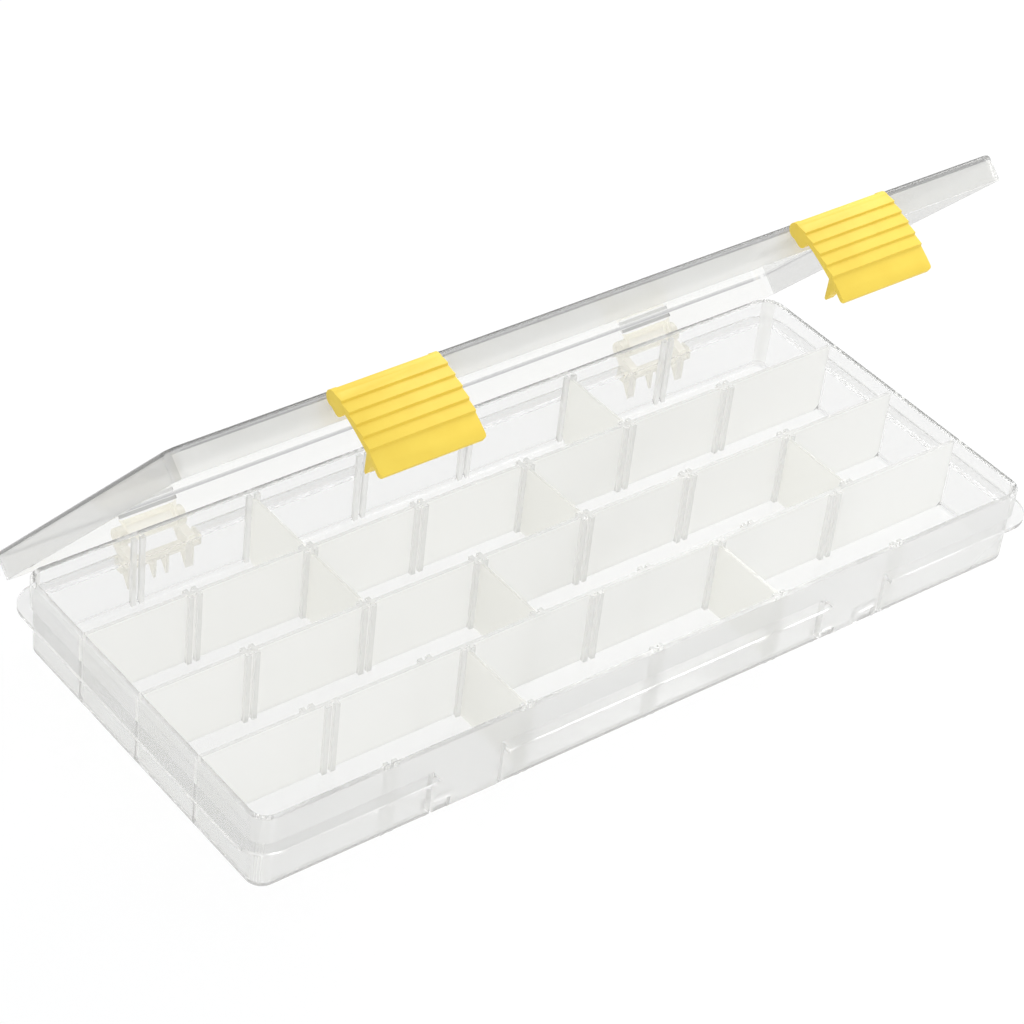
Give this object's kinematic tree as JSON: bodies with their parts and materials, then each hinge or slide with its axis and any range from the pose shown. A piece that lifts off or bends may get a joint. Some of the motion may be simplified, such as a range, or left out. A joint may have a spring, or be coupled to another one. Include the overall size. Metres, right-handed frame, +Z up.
{
  "type": "compartment tackle box",
  "caption": "Shallow clear compartment box with moulded rows, loose cross dividers, a hinged lid held open at an angle and swing latches on its front edge.",
  "frame": {"origin": "middle of the tray's underside", "axes": "+X along the long side, to the right seen from the latches; +Y from the latches to the hinges; +Z up"},
  "size_m": [0.3656, 0.1688, 0.158],
  "materials": {
    "tray_plastic": "clear moulded polypropylene, slightly hazy",
    "lid_plastic": "clear moulded polypropylene",
    "divider_plastic": "clear moulded polypropylene, slightly warm",
    "latch_plastic": "satin moulded yellow plastic"
  },
  "bodies": {
    "tray": {"tray": "tray_plastic", "divider_1": "divider_plastic", "divider_2": "divider_plastic", "divider_3": "divider_plastic", "divider_4": "divider_plastic", "divider_5": "divider_plastic", "divider_6": "divider_plastic", "divider_7": "divider_plastic", "divider_8": "divider_plastic"},
    "lid": {"lid": "lid_plastic"},
    "latch_left": {"latch_left": "latch_plastic"},
    "latch_right": {"latch_right": "latch_plastic"}
  },
  "joints": [
    {"name": "lid_hinge", "type": "hinge", "parent": "tray", "child": "lid", "pos_m": [0, 0.0846, 0.0261], "axis": [-1, 0, 0], "range_deg": [-47.6, 87.9]},
    {"name": "latch_left_hinge", "type": "hinge", "parent": "lid", "child": "latch_left", "pos_m": [-0.1005, -0.02472, 0.15486], "axis": [-1, 0, 0], "range_deg": [-13, 47]},
    {"name": "latch_right_hinge", "type": "hinge", "parent": "lid", "child": "latch_right", "pos_m": [0.1005, -0.02472, 0.15486], "axis": [-1, 0, 0], "range_deg": [-13, 47]}
  ]
}
